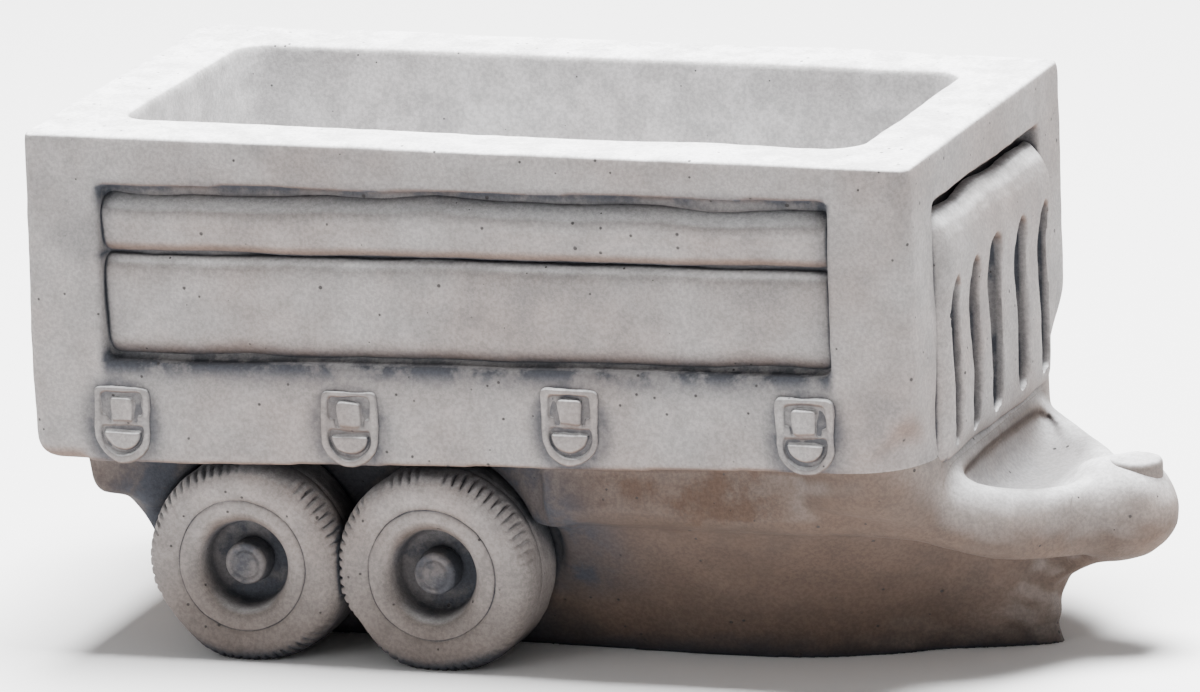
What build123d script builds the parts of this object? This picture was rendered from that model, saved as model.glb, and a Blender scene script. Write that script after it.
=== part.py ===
import os

from build123d import *

os.makedirs("parts", exist_ok=True)

# Lengths are in millimetres. While building, X runs from the middle of the tub towards the
# drawbar, Y to the trailer's left, and Z up from the ground.

# the tub
tub_length = 560.0
tub_width = 314.0
rim_height = 325.5
lower_edge_rear = 120.0
lower_edge_front = 140.0
end_wall = 47.0
side_wall = 49.0
cavity_floor = 150.0
cavity_draft = 10.0
cavity_corner = 20.0
tub_corner = 9.0
rear_lower_corner = 15.0
corner_sweep_top = 183.0
corner_sweep_inside = (106.0, 139.0)
corner_sweep_back = (238.0, 136.0)
rim_softening = 3.0
drain_radius = 10.0

# panels let into the four faces of the tub
recess_depth = 14.0
board_thickness = 11.0
board_softening = 5.0
side_recess_rear = -231.0
side_recess_front = 228.0
side_recess_top = (294.6, 302.9)
side_recess_bottom = (185.3, 197.1)
board_joint = (250.8, 259.4)
board_gap = 0.8
end_recess_half = 118.0
end_recess_top = 294.0
front_recess_bottom = 140.5
rear_recess_bottom = 150.0
header_bottom = 262.0
tailgate_joint = 232.0
front_proud = 8.0
slot_spacing = 45.0
slot_widths = (15.0, 18.0, 22.0, 18.0, 15.0)
slot_bottom = 147.0
slot_top = 252.0
slot_depth = 9.0

# the rail under the side boards and its moulded latches
sill_rear = -245.0
sill_front = 238.0
sill_inner_half = 146.0
sill_outer_half = 153.5
sill_softening = 3.0
seat_overrun = 20.0
latch_places = ((-221.0, 147.0), (-75.0, 151.0), (65.0, 159.0), (212.0, 160.0))
latch_width = 36.0
latch_height = 47.0
latch_plate = 1.7
latch_relief = 1.8
latch_button = 14.0

# the wheels
wheel_places = {"rear": -152.0, "front": -31.0}
hub_height = 59.5
tyre_radius = 63.5
tyre_seat_radius = 41.0
tyre_outer_half = 147.0
tyre_inner_half = 95.0
tyre_meeting = -91.5
dish_radius = 26.5
dish_depth = 17.0
cap_radius = 13.5
cap_disc_radius = 7.5
cap_height = 13.0
tread_notches = 54
notch_width = 2.4
notch_depth = 6.0

# the base under the tub
base_height = 92.0
pocket_rear = -219.0
pocket_front = 38.0
deck_half = 95.0
skirt_top_half = 138.0
skirt_bottom_half = 124.0
skirt_slant_from = 205.0
skirt_front_half = 110.0
tail_rear = -262.0
tail_half = 122.0
tail_softening = 10.0

# the drawbar
nose_centre = (352.0, 84.0)
nose_size = (43.0, 36.0, 32.0)
nose_back = 338.0
arm_stations = (
    # (x, half spacing, middle height, width, depth)
    (280.0, 92.0, 108.0, 40.0, 44.0),
    (300.0, 81.0, 95.0, 42.0, 46.0),
    (322.0, 60.0, 88.0, 44.0, 46.0),
    (346.0, 30.0, 84.0, 42.0, 46.0),
)
arm_corner = 19.0
pocket_floor_height = 101.0
neck_half = 18.0
boss_radius = 15.0
boss_place = 368.0
boss_top = 117.5

# steel cast into the concrete
rim_bar_radius = 4.0
rim_bar_height = 309.0
rim_bar_cover = 22.0
drawbar_bar_radius = 5.0
drawbar_bar_span = (180.0, 374.0)
drawbar_bar_height = 78.0

tub_half_length = tub_length / 2
tub_half_width = tub_width / 2
nose_tip = nose_centre[0] + nose_size[0]
frame_shift = (nose_tip - tub_half_length) / 2
front_thickness = recess_depth + front_proud
left = 1.0
right = -1.0


def lower_edge(x):
    """Height of the tub's sloping lower edge at x."""
    part_way = (x + tub_half_length) / tub_length
    return lower_edge_rear + (lower_edge_front - lower_edge_rear) * part_way


def prism(points, direction, depth):
    """A flat outline given by its corner points, pushed along a direction."""
    return extrude(Face(Wire.make_polygon(points)), amount=depth, dir=direction)


def side_slab(outline, inner_half, outer_half):
    """A plate on the left side of the tub whose outline is given as (x, z) corners."""
    return prism([(x, inner_half, z) for x, z in outline], (0, 1, 0), outer_half - inner_half)


def end_slab(half, low, high, inner_x, outer_x):
    """A plate across one end of the tub."""
    corners = [(inner_x, -half, low), (inner_x, half, low), (inner_x, half, high), (inner_x, -half, high)]
    return prism(corners, (1, 0, 0), outer_x - inner_x)


def outer_edges(solid, axis, furthest):
    """The edges of a plate that lie in its outermost face."""
    return [e for e in solid.edges() if abs(getattr(e.center(), axis) - furthest) < 0.01]


def mirrored(solid, side):
    """The piece as built for the left side, or its mirror image for the right."""
    return solid if side == left else mirror(solid, about=Plane.XZ)


def tub_envelope():
    """The tub's outside, before anything is cut from it."""
    outline = [
        (-tub_half_length, -tub_half_width, lower_edge_rear),
        (tub_half_length, -tub_half_width, lower_edge_front),
        (tub_half_length, -tub_half_width, rim_height),
        (-tub_half_length, -tub_half_width, rim_height),
    ]
    block = prism(outline, (0, 1, 0), tub_width)
    block = fillet(block.edges().filter_by(Axis.Z), tub_corner)
    rear_low = [
        e for e in block.edges()
        if abs(e.center().X + tub_half_length) < 0.01 and e.center().Z < lower_edge_rear + 1
    ]
    block = fillet(rear_low, rear_lower_corner)
    for side in (left, right):
        # the lower front corners sweep in towards the drawbar
        high = Vector(tub_half_length, side * tub_half_width, corner_sweep_top)
        inward = Vector(tub_half_length, side * corner_sweep_inside[0], corner_sweep_inside[1])
        back = Vector(corner_sweep_back[0], side * tub_half_width, corner_sweep_back[1])
        normal = (inward - high).cross(back - high)
        if normal.X < 0:
            normal = -normal
        block = split(block, bisect_by=Plane(origin=high, z_dir=normal), keep=Keep.BOTTOM)
    return block


def side_recess_outline():
    return [
        (side_recess_rear, side_recess_bottom[0]),
        (side_recess_front, side_recess_bottom[1]),
        (side_recess_front, side_recess_top[1]),
        (side_recess_rear, side_recess_top[0]),
    ]


def sill_outline():
    """The rail reaches from the tub's lower edge up to the bottom of the side recess."""
    slope = (side_recess_bottom[1] - side_recess_bottom[0]) / (side_recess_front - side_recess_rear)
    top_rear = side_recess_bottom[0] + slope * (sill_rear - side_recess_rear)
    top_front = side_recess_bottom[1] + slope * (sill_front - side_recess_front)
    return [
        (sill_rear, lower_edge(sill_rear)),
        (sill_front, lower_edge(sill_front)),
        (sill_front, top_front),
        (sill_rear, top_rear),
    ]


def board_outlines():
    """Outlines of the upper and the lower side board, which meet along a thin crack."""
    rear = side_recess_rear + board_gap
    front = side_recess_front - board_gap
    upper = [
        (rear, board_joint[0] + board_gap / 2),
        (front, board_joint[1] + board_gap / 2),
        (front, side_recess_top[1] - board_gap),
        (rear, side_recess_top[0] - board_gap),
    ]
    lower = [
        (rear, side_recess_bottom[0] + board_gap / 2),
        (front, side_recess_bottom[1] + board_gap / 2),
        (front, board_joint[1] - board_gap / 2),
        (rear, board_joint[0] - board_gap / 2),
    ]
    return {"upper": upper, "lower": lower}


def make_tub():
    tub = tub_envelope()
    top_length = tub_length - 2 * end_wall
    top_width = tub_width - 2 * side_wall
    mouth = Plane.XY.offset(rim_height) * RectangleRounded(top_length, top_width, cavity_corner)
    floor_face = Plane.XY.offset(cavity_floor) * RectangleRounded(
        top_length - 2 * cavity_draft, top_width - 2 * cavity_draft, cavity_corner - 2
    )
    tub -= loft([floor_face.face(), mouth.face()])
    rim = [
        e for e in tub.edges()
        if abs(e.center().Z - rim_height) < 0.01
    ]
    tub = fillet(rim, rim_softening)
    recess = side_slab(side_recess_outline(), tub_half_width - recess_depth, tub_half_width + 1)
    rail_seat = side_slab(
        [(x, z if z > lower_edge(x) else z - seat_overrun) for x, z in sill_outline()],
        sill_inner_half,
        tub_half_width + 1,
    )
    for side in (left, right):
        tub -= mirrored(recess, side)
        tub -= mirrored(rail_seat, side)
    tub -= end_slab(
        end_recess_half,
        front_recess_bottom,
        end_recess_top,
        tub_half_length - recess_depth,
        tub_half_length + 1,
    )
    tub -= end_slab(
        end_recess_half,
        rear_recess_bottom,
        end_recess_top,
        -tub_half_length - 1,
        -tub_half_length + recess_depth,
    )
    return tub - drain_hole() - rim_bar()


def make_side_board(which):
    inner = tub_half_width - recess_depth
    board = side_slab(board_outlines()[which], inner, inner + board_thickness)
    return fillet(outer_edges(board, "Y", inner + board_thickness), board_softening)


def make_sill():
    sill = side_slab(sill_outline(), sill_inner_half, sill_outer_half)
    return fillet(outer_edges(sill, "Y", sill_outer_half), sill_softening)


def make_latch(x, z):
    """A plate with a round lower end, a raised button above and a half moon below."""
    half = latch_width / 2
    round_centre = -latch_height / 2 + half
    flat_top = latch_height / 2
    outline = Polyline((half, round_centre), (half, flat_top), (-half, flat_top), (-half, round_centre))
    plate_wire = outline + RadiusArc((half, round_centre), (-half, round_centre), half)
    place = Plane(origin=(x, sill_outer_half, z), x_dir=(-1, 0, 0), z_dir=(0, 1, 0))
    latch = extrude(place * make_face(plate_wire), amount=latch_plate)
    relief = latch_plate + latch_relief
    button = Pos(0, latch_button * 0.65) * RectangleRounded(latch_button, latch_button, 2)
    latch += extrude(place * button, amount=relief)
    moon_radius = half - 5
    moon = Pos(0, round_centre) * Circle(moon_radius)
    moon -= Pos(0, round_centre + moon_radius) * Rectangle(4 * moon_radius, 2 * moon_radius)
    latch += extrude(place * moon, amount=relief)
    return latch


def make_end_board(low, high, facing, thickness):
    inner = facing * (tub_half_length - recess_depth)
    outer = facing * (tub_half_length - recess_depth + thickness)
    board = end_slab(end_recess_half - board_gap, low, high, inner, outer)
    return fillet(outer_edges(board, "X", outer), board_softening)


def make_front_panel():
    """The slatted panel: upright rounded slots sunk into a board that stands proud of the tub."""
    panel = make_end_board(front_recess_bottom + board_gap, header_bottom, 1.0, front_thickness)
    face_x = tub_half_length + front_proud
    height = slot_top - slot_bottom
    middle = (slot_top + slot_bottom) / 2
    for number, width in enumerate(slot_widths):
        y = (number - (len(slot_widths) - 1) / 2) * slot_spacing
        place = Plane(origin=(face_x - slot_depth, y, middle), x_dir=(0, 0, 1), z_dir=(1, 0, 0))
        panel -= extrude(place * SlotOverall(height, width), amount=slot_depth + 1)
    return panel


def make_tyre(x):
    """Crowned sidewall, round shoulders and tread notches, cut flat where it stands and meets."""
    profile = [
        (tyre_seat_radius, tyre_inner_half),
        (tyre_radius - 3, tyre_inner_half),
        (tyre_radius, tyre_inner_half + 4),
        (tyre_radius, tyre_outer_half - 16),
        (tyre_radius - 2, tyre_outer_half - 8),
        (tyre_radius - 7, tyre_outer_half - 2),
        (tyre_radius - 12, tyre_outer_half),
        (tyre_seat_radius + 4, tyre_outer_half - 1),
        (tyre_seat_radius, tyre_outer_half - 4),
    ]
    face = Face(Wire.make_polygon([(radius, y, 0) for radius, y in profile]))
    tyre = revolve(face, Axis.Y)
    notch = Pos(tyre_radius - notch_depth / 2 + 1, tyre_outer_half - 6, 0)
    notch *= Box(notch_depth, 12, notch_width)
    step = 360.0 / tread_notches
    tyre -= [Rot(0, step * number, 0) * notch for number in range(tread_notches)]
    tyre = Pos(x, 0, hub_height) * tyre
    reach = 2 * tyre_radius
    tyre -= Pos(x, tub_half_width, -reach / 2) * Box(2 * reach, tub_width, reach)
    beyond = -1.0 if x < tyre_meeting else 1.0
    tyre -= Pos(tyre_meeting - beyond * reach / 2, tub_half_width, hub_height) * Box(
        reach, tub_width, 2 * reach
    )
    return tyre


def make_wheel_rim(x):
    """A ring with a deep dish; the ring is crowned where it meets the tyre."""
    face_half = tyre_outer_half - 2.5
    profile = [
        (0, tyre_inner_half),
        (tyre_seat_radius, tyre_inner_half),
        (tyre_seat_radius, face_half - 2),
        (tyre_seat_radius - 4, face_half),
        (dish_radius + 4, face_half - 1.5),
        (dish_radius, face_half - 5),
        (dish_radius - 3, face_half - dish_depth),
        (0, face_half - dish_depth),
    ]
    face = Face(Wire.make_polygon([(radius, y, 0) for radius, y in profile]))
    return Pos(x, 0, hub_height) * revolve(face, Axis.Y)


def make_hub_cap(x):
    start = tyre_outer_half - 2.5 - dish_depth
    profile = [
        (0, start),
        (cap_radius, start),
        (cap_radius, start + cap_height - 2),
        (cap_radius - 2, start + cap_height),
        (cap_disc_radius + 1, start + cap_height),
        (cap_disc_radius, start + cap_height + 1),
        (0, start + cap_height + 1),
    ]
    face = Face(Wire.make_polygon([(radius, y, 0) for radius, y in profile]))
    return Pos(x, 0, hub_height) * revolve(face, Axis.Y)


def smooth_outline(half_points, height):
    """A closed smooth face from the points of its left half, listed from rear to front."""
    points = list(half_points)
    points += [(x, -y) for x, y in reversed(half_points) if y > 0.01]
    return make_face(Spline([(x, y, height) for x, y in points], periodic=True))


def make_plinth():
    ground = [(-200, 0), (-194, 42), (-170, 62), (-80, 67), (10, 69), (100, 73), (170, 71)]
    ground += [(221, 54), (258, 32), (300, 16), (320, 0)]
    waist = [(-229, 0), (-226, 54), (-208, 88), (-80, 92), (10, 92), (100, 96), (175, 92)]
    waist += [(228, 70), (270, 44), (306, 24), (323, 0)]
    crease = [(-257, 0), (-254, 74), (-236, 112), (-80, 114), (10, 116), (100, 121), (190, 119)]
    crease += [(243, 98), (286, 66), (318, 30), (328, 0)]
    plinth = loft([
        smooth_outline(ground, 0.0),
        smooth_outline(waist, base_height / 2),
        smooth_outline(crease, base_height),
    ])
    pocket_middle = (pocket_rear + pocket_front) / 2
    pocket = Box(pocket_front - pocket_rear, 60, 2 * base_height)
    for side in (left, right):
        plinth -= Pos(pocket_middle, side * (deck_half + 30), 0) * pocket
    return plinth - nose_body() - drain_hole() - drawbar_bar()


def under_tub(outline, half_height=60.0):
    """A block standing on the base, given by its (x, y) corners and trimmed by the tub above."""
    block = prism([(x, y, base_height) for x, y in outline], (0, 0, 1), half_height)
    above = [
        (-500, -300, lower_edge(-500)),
        (500, -300, lower_edge(500)),
        (500, -300, 300),
        (-500, -300, 300),
    ]
    return block - prism(above, (0, 1, 0), 600)


def make_deck():
    half = deck_half
    corners = [(pocket_rear, -half), (tub_half_length, -half), (tub_half_length, half), (pocket_rear, half)]
    return under_tub(corners) - drain_hole()


def make_skirt():
    """The outer rail of the base in front of the wheels, leaning in towards the drawbar."""
    corners = [
        (pocket_front, deck_half),
        (tub_half_length, deck_half),
        (tub_half_length, skirt_front_half),
        (skirt_slant_from, skirt_top_half),
        (pocket_front, skirt_top_half),
    ]
    skirt = under_tub(corners)
    lean = skirt_top_half - skirt_bottom_half
    bottom_outer = [
        e for e in skirt.edges()
        if abs(e.center().Z - base_height) < 0.01 and e.center().Y > deck_half + 8
        and abs(e.tangent_at(0.5).X) > 0.5
    ]
    return chamfer(bottom_outer, lean * 0.6)


def make_tail():
    corners = [
        (tail_rear, -tail_half),
        (pocket_rear, -tail_half),
        (pocket_rear, tail_half),
        (tail_rear, tail_half),
    ]
    tail = under_tub(corners)
    uprights = [e for e in tail.edges().filter_by(Axis.Z) if e.center().X < tail_rear + 1]
    return fillet(uprights, tail_softening)


def nose_body():
    ball = scale(Sphere(1), by=nose_size)
    body = Pos(nose_centre[0], 0, nose_centre[1]) * ball
    return body & Pos(nose_back + 100, 0, nose_centre[1]) * Box(200, 200, 200)


def make_arm():
    """One side of the drawbar, a round-backed bar curving from the front of the base to the nose."""
    sections = []
    for x, half, height, width, depth in arm_stations:
        plane = Plane(origin=(x, half, height), x_dir=(0, 1, 0), z_dir=(1, 0, 0))
        sections.append((plane * RectangleRounded(width, depth, arm_corner)).face())
    arm = loft(sections) - nose_body() - make_plinth()
    beyond_tub = Pos(tub_half_length + 100, 100.01, 100) * Box(200, 200, 200)
    return max((arm & beyond_tub).solids(), key=lambda piece: piece.volume)


def make_web(arm):
    """The floor of the pocket between the arms, and the neck under the nose."""
    floor_outline = [
        (tub_half_length, -arm_stations[0][1], base_height),
        (tub_half_length, arm_stations[0][1], base_height),
        (nose_back + 10, arm_stations[-1][1], base_height),
        (nose_back + 10, -arm_stations[-1][1], base_height),
    ]
    web = prism(floor_outline, (0, 0, 1), pocket_floor_height - base_height)
    neck_outline = [
        (300, -neck_half, 45),
        (326, -neck_half, 42),
        (352, -neck_half, 56),
        (352, -neck_half, base_height),
        (300, -neck_half, base_height),
    ]
    web += prism(neck_outline, (0, 1, 0), 2 * neck_half)
    web = web - arm - mirrored(arm, right) - nose_body() - make_plinth() - drawbar_bar()
    return max(web.solids(), key=lambda piece: piece.volume)


def make_boss():
    disc = Pos(boss_place, 0, nose_centre[1]) * Cylinder(
        boss_radius, boss_top - nose_centre[1], align=(Align.CENTER, Align.CENTER, Align.MIN)
    )
    top = [e for e in disc.edges() if abs(e.center().Z - boss_top) < 0.01]
    return fillet(top, 1.5) - nose_body()


def drain_hole():
    return Pos(0, 0, cavity_floor / 2) * Cylinder(drain_radius, cavity_floor + 40)


def rim_bar():
    """A closed loop of round bar inside the tub's walls, just under the rim."""
    length = tub_length - 2 * rim_bar_cover
    width = tub_width - 2 * rim_bar_cover
    path = Plane.XY.offset(rim_bar_height) * RectangleRounded(length, width, 18)
    loop = path.face().outer_wire()
    start = Plane(origin=loop.position_at(0), z_dir=loop.tangent_at(0))
    return sweep(start * Circle(rim_bar_radius), path=loop)


def drawbar_bar():
    start, end = drawbar_bar_span
    place = Plane(origin=(start, 0, drawbar_bar_height), z_dir=(1, 0, 0))
    return extrude(place * Circle(drawbar_bar_radius), amount=end - start)


nodes = {"tub": make_tub(), "rim_bar": rim_bar(), "drawbar_bar": drawbar_bar()}
nodes["plinth"] = make_plinth()
nodes["deck"] = make_deck()
nodes["tail"] = make_tail()
nodes["front_panel"] = make_front_panel()
end_top = end_recess_top - board_gap
nodes["front_header"] = make_end_board(header_bottom + board_gap, end_top, 1.0, front_thickness)
nodes["tailgate_lower"] = make_end_board(
    rear_recess_bottom + board_gap, tailgate_joint, -1.0, board_thickness
)
nodes["tailgate_upper"] = make_end_board(tailgate_joint + board_gap, end_top, -1.0, board_thickness)
tub_outside = tub_envelope()
arm_left = make_arm()
nodes["drawbar_web"] = make_web(arm_left)
nodes["drawbar_nose"] = nose_body() - drawbar_bar()
nodes["hitch_boss"] = make_boss()
for side, side_name in ((left, "left"), (right, "right")):
    nodes["drawbar_arm_" + side_name] = mirrored(arm_left, side)
    nodes["skirt_" + side_name] = mirrored(make_skirt(), side)
    nodes["sill_" + side_name] = mirrored(make_sill(), side)
    for which in ("upper", "lower"):
        nodes["side_board_" + which + "_" + side_name] = mirrored(make_side_board(which), side)
    for number, (x, z) in enumerate(latch_places):
        nodes["latch_" + str(number + 1) + "_" + side_name] = mirrored(make_latch(x, z), side)
    for axle, x in wheel_places.items():
        ending = axle + "_" + side_name
        tyre = make_tyre(x) - tub_outside - nodes["plinth"] - nodes["tail"]
        nodes["tyre_" + ending] = mirrored(tyre, side)
        nodes["wheel_rim_" + ending] = mirrored(make_wheel_rim(x), side)
        nodes["hub_cap_" + ending] = mirrored(make_hub_cap(x), side)

for name, shape in nodes.items():
    export_step(Pos(-frame_shift, 0, 0) * shape, "parts/" + name + ".step")
    box = shape.bounding_box()
    low = [round(v, 1) for v in box.min]
    high = [round(v, 1) for v in box.max]
    print(name, len(shape.solids()), "solid", low, high)
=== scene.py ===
import math

import bmesh
import bpy
import numpy as np
from mathutils import Matrix, Vector, noise


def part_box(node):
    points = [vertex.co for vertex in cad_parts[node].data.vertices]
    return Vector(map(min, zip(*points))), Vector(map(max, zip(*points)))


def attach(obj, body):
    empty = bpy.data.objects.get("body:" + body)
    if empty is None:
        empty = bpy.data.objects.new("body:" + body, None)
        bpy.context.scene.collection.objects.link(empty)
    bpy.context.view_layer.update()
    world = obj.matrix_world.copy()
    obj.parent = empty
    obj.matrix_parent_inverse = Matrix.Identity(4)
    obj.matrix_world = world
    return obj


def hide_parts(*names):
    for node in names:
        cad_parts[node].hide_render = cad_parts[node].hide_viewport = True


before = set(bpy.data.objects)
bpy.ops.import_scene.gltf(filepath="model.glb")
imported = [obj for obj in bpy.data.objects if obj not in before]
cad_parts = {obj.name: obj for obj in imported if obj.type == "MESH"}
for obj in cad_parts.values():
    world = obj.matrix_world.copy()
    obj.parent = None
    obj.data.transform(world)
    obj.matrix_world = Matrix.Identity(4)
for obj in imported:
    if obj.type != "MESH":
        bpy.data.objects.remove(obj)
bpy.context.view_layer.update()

# Outlines and places are in millimetres from the middle of the tub at ground level: x forward, z up.
mm = 0.001
tubLow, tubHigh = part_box("tub")
tubMiddle = (tubLow.x + tubHigh.x) / 2
left, right = 1.0, -1.0
sideNames = {left: "left", right: "right"}
wheelPlaces = {"rear": -152.0, "front": -31.0}
hubHeight = 59.5
concretePieces = []


def at(x, y, z):  # millimetres to the frame
    return Vector((tubMiddle + x * mm, y * mm, z * mm))


def newObject(name, mesh):
    piece = bpy.data.objects.new(name, mesh)
    bpy.context.scene.collection.objects.link(piece)
    return piece


def meshFrom(name, points, faces):  # a closed mesh, all faces outward
    mesh = bpy.data.meshes.new(name)
    mesh.from_pydata([tuple(p) for p in points], [], faces)
    mesh.validate()
    mesh.update()
    shape = bmesh.new()
    shape.from_mesh(mesh)
    bmesh.ops.recalc_face_normals(shape, faces=shape.faces)
    shape.to_mesh(mesh)
    shape.free()
    return newObject(name, mesh)


def joined(name, meshes):
    shape = bmesh.new()
    for mesh in meshes:
        shape.from_mesh(mesh)
    whole = bpy.data.meshes.new(name)
    shape.to_mesh(whole)
    shape.free()
    return whole


def settle(piece):  # work the modifiers into the mesh
    depsgraph = bpy.context.evaluated_depsgraph_get()
    depsgraph.update()
    mesh = bpy.data.meshes.new_from_object(piece.evaluated_get(depsgraph))
    old = piece.data
    piece.modifiers.clear()
    piece.data = mesh
    bpy.data.meshes.remove(old)
    return piece


def remesh(piece, voxel):
    step = piece.modifiers.new("clay", "REMESH")
    step.mode = "VOXEL"
    step.voxel_size = voxel * mm
    step.use_smooth_shade = True
    return settle(piece)


def smooth(piece, passes, group=""):
    step = piece.modifiers.new("thumb", "SMOOTH")
    step.factor = 0.5
    step.iterations = passes
    step.vertex_group = group
    return settle(piece)


def combine(piece, other, operation):  # the other one is used up
    step = piece.modifiers.new("cut", "BOOLEAN")
    step.operation = operation
    step.solver = "MANIFOLD"
    step.object = other
    settle(piece)
    bpy.data.objects.remove(other)
    return piece


def duplicate(piece, name):
    copy = piece.copy()
    copy.data = piece.data.copy()
    copy.name = name
    bpy.context.scene.collection.objects.link(copy)
    return copy


def coordinates(piece):
    flat = np.empty(len(piece.data.vertices) * 3)
    piece.data.vertices.foreach_get("co", flat)
    return flat.reshape(-1, 3)


def setCoordinates(piece, points):
    piece.data.vertices.foreach_set("co", points.ravel())
    piece.data.update()


def localPlaces(points):  # x, y and z in millimetres
    return (points[:, 0] - tubMiddle) / mm, points[:, 1] / mm, points[:, 2] / mm


def normals(piece):
    flat = np.empty(len(piece.data.vertices) * 3)
    piece.data.vertex_normals.foreach_get("vector", flat)
    return flat.reshape(-1, 3)


def ramp(values, low, high):
    t = np.clip((values - low) / (high - low), 0, 1)
    return t * t * (3 - 2 * t)


def bell(distance, width):
    return np.exp(-(distance / width) ** 2)


def handMade(piece, swell, swellSize, dimple, dimpleSize):  # uneven, hand-modelled surface
    points = coordinates(piece)
    moved = np.zeros(len(points))
    for number, point in enumerate(points):
        place = Vector(point) / mm
        moved[number] = swell * noise.noise(place / swellSize)
        moved[number] += dimple * noise.noise(place / dimpleSize + Vector((31, 7, 3)))
    setCoordinates(piece, points + normals(piece) * (moved * mm)[:, None])
    return piece


def paintGroup(piece, name, weights, levelCount=20):
    group = piece.vertex_groups.new(name=name)
    levels = np.round(np.clip(weights, 0, 1) * levelCount).astype(int)
    for level in range(1, levelCount + 1):
        members = np.nonzero(levels == level)[0].tolist()
        if members:
            group.add(members, level / levelCount, "REPLACE")


def arc(x, z, radius, start, turn, steps, squash=1.0):
    angles = [start + turn * k / steps for k in range(steps + 1)]
    return [(x + radius * math.cos(a), z + radius * squash * math.sin(a)) for a in angles]


def prism(name, outline, axis, low, high):  # outline: (y, z) along X, (x, z) along Y or (x, y) along Z
    turned = {
        "X": lambda a, b, depth: at(depth, a, b),
        "Y": lambda a, b, depth: at(a, depth, b),
        "Z": lambda a, b, depth: at(a, b, depth),
    }[axis]
    count = len(outline)
    points = [turned(a, b, depth) for depth in (low, high) for a, b in outline]
    faces = [list(range(count)), list(range(2 * count - 1, count - 1, -1))]
    for i in range(count):
        j = (i + 1) % count
        faces.append([j, i, i + count, j + count])
    return meshFrom(name, points, faces)


def sidePrism(name, outline, side, inner, outer):  # a prism along Y on one side of the trailer
    return prism(name, outline, "Y", *sorted((side * inner, side * outer)))


def loft(name, rings):  # a closed skin over rings of as many points each
    size = len(rings[0])
    last = (len(rings) - 1) * size
    faces = []
    for start in range(0, last, size):
        for j in range(size):
            k = (j + 1) % size
            faces.append([start + j, start + k, start + size + k, start + size + j])
    faces.append(list(range(size)))
    faces.append([last + j for j in range(size - 1, -1, -1)])
    return meshFrom(name, [point for ring in rings for point in ring], faces)


def roll(name, stations, around=28):  # a round-backed roll of clay through oval sections
    rings = []
    for x, y, z, halfWidth, halfDepth in stations:
        angles = [2 * math.pi * k / around for k in range(around)]
        rings.append([at(x, y + halfWidth * math.cos(a), z + halfDepth * math.sin(a)) for a in angles])
    return loft(name, rings)


def mirrored(piece, side):  # pieces are made on the left; the right one is its mirror image
    if side == right:
        points = coordinates(piece)
        points[:, 1] *= -1
        setCoordinates(piece, points)
        piece.data.flip_normals()
    return piece


def turned(piece, angle):  # turn a piece about the tub's upright axis
    points = coordinates(piece)
    x, y = points[:, 0] - tubMiddle, points[:, 1].copy()
    c, s = math.cos(angle), math.sin(angle)
    points[:, 0] = x * c - y * s + tubMiddle
    points[:, 1] = x * s + y * c
    setCoordinates(piece, points)
    return piece


def finishPiece(piece, node, sharp=42):
    for polygon in piece.data.polygons:
        polygon.use_smooth = True
    piece.data.set_sharp_from_angle(angle=math.radians(sharp))
    piece.vertex_groups.clear()
    piece.name = node + "_casting"
    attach(piece, "root")
    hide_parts(node)
    concretePieces.append(piece)


# The casting's trough, base and drawbar flow into each other, so they are modelled as one lump
# of clay and parted afterwards along the members.
castingSettings = {
    "voxel": 2.0, "edgePasses": 5, "blendPasses": 110, "pocketPasses": 22,
    "unevenness": (1.4, 75.0, 0.35, 14.0),  # swell and its size, dimple and its size
    "lumps": 3.2, "lumpSize": 38.0, "chip": 2.2, "chipSize": 12.0,
    "railInside": 140.0, "railFace": 155.6, "heelSide": 109.0, "bowlSide": 90.0,
    "wheelWell": 65.4, "wellInside": 93.0, "wellOutside": 180.0, "settledBelow": 0.9,
}
clayNodes = ["tub", "deck", "tail", "skirt_left", "skirt_right", "plinth", "drawbar_web", "drawbar_nose"]
beyond = 220.0  # past both sides of the trailer
edgeRear, edgeRise, tubLength = 120.0, 20.0, 560.0
baseTop = 92.0


def lowerEdge(x):  # the trough's lower edge climbs towards the front
    return edgeRear + edgeRise * (x + tubLength / 2) / tubLength


# Rolls of clay on each side: x, y, middle height, half width, half depth
sideRolls = {
    "arm": [
        (196, 114, 113, 23, 21), (236, 108, 111, 22, 22), (262, 101, 108, 22, 22), (284, 92, 100, 21, 23),
        (304, 79, 92, 21, 23.5), (322, 61, 88, 22, 24), (338, 40, 86, 21, 25), (352, 18, 85, 20, 27),
    ],
    "shoulder": [
        (206, 134, 140, 10, 14), (228, 132, 140, 20, 22), (248, 129, 143, 24, 30),
        (264, 120, 142, 26, 34), (274, 110, 132, 24, 28), (280, 100, 116, 18, 20),
    ],
    "cheek": [
        (198, 126, 122, 10, 10), (218, 127, 125, 20, 17), (240, 126, 128, 25, 22),
        (258, 119, 125, 25, 24), (273, 107, 115, 22, 21),
    ],
}
crown = [(330, 0, 97, 16, 15.5), (350, 0, 99.5, 28, 17.5), (368, 0, 99.5, 32, 18.5), (383, 0, 94, 24, 16.5)]
hollow = [
    (281, 0, 122, 86, 3), (286, 0, 118, 89, 9), (293, 0, 114, 82, 13.5), (303, 0, 112, 69, 15),
    (313, 0, 112, 54, 14), (322, 0, 112, 36, 10), (328, 0, 112, 10, 2),
]
# Fillings seen from the side: x, z
railOutline = [(-245, lowerEdge(-245)), (238, lowerEdge(238)), (238, 197.2), (-245, 185.0)]
heel = [(-242, 94), (-236, 84), (-228, 66), (-223, 46), (-214, 26), (-190, 18), (-190, 94)]
bowl = [(272, 131), (283, 129), (287, 117), (294, 108), (304, 103), (316, 100), (316, 96), (272, 96)]
tailProfile = [
    (-320, -30), (-203, -30), (-206, 22), (-219, 46), (-226, 66), (-233, 80), (-247, 88),
    (-258, 96), (-263, 108), (-267, 117), (-320, 116),
]
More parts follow.
